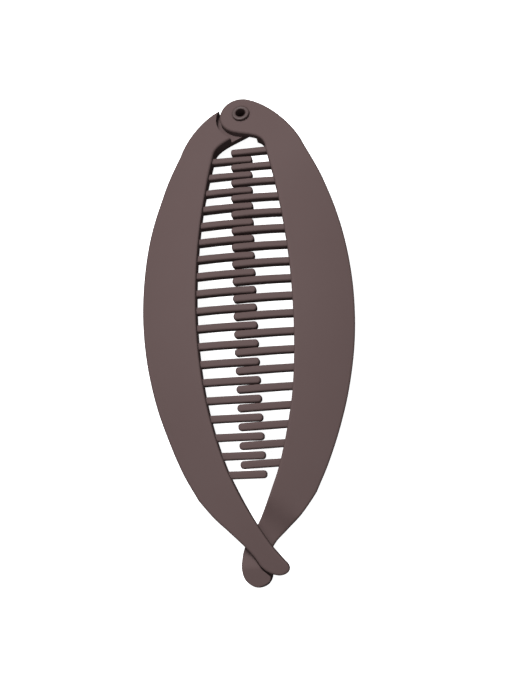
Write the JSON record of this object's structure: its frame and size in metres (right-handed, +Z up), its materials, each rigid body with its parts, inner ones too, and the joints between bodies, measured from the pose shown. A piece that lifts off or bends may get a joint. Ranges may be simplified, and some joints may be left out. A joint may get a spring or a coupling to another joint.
{
  "type": "interlocking hair clip",
  "caption": "Large fish-shaped hair clip: two curved combs with interleaved teeth, hinged at one end on a tube rivet and crossing in a catch at the other.",
  "frame": {"origin": "on the table under the middle of the clip's box, as it lies back down", "axes": "+Z up, away from the table and out of the front face; +Y along the clip towards the hinge; +X to the right as seen from the front"},
  "size_m": [0.0562, 0.1342, 0.0137],
  "materials": {
    "matt_plastic": "soft-touch matt brown coat over moulded plastic",
    "coated_rivet": "rolled steel tube rivet with the same matt brown coat"
  },
  "bodies": {
    "right_half": {"right_comb": "matt_plastic", "hinge_rivet": "coated_rivet"},
    "left_half": {"left_comb": "matt_plastic"}
  },
  "joints": [
    {"name": "comb_hinge", "type": "hinge", "parent": "right_half", "child": "left_half", "pos_m": [-0.00024, 0.06193, 0.00506], "axis": [-0.0592, -0.2449, -0.9677], "range_deg": [0, 80]}
  ]
}
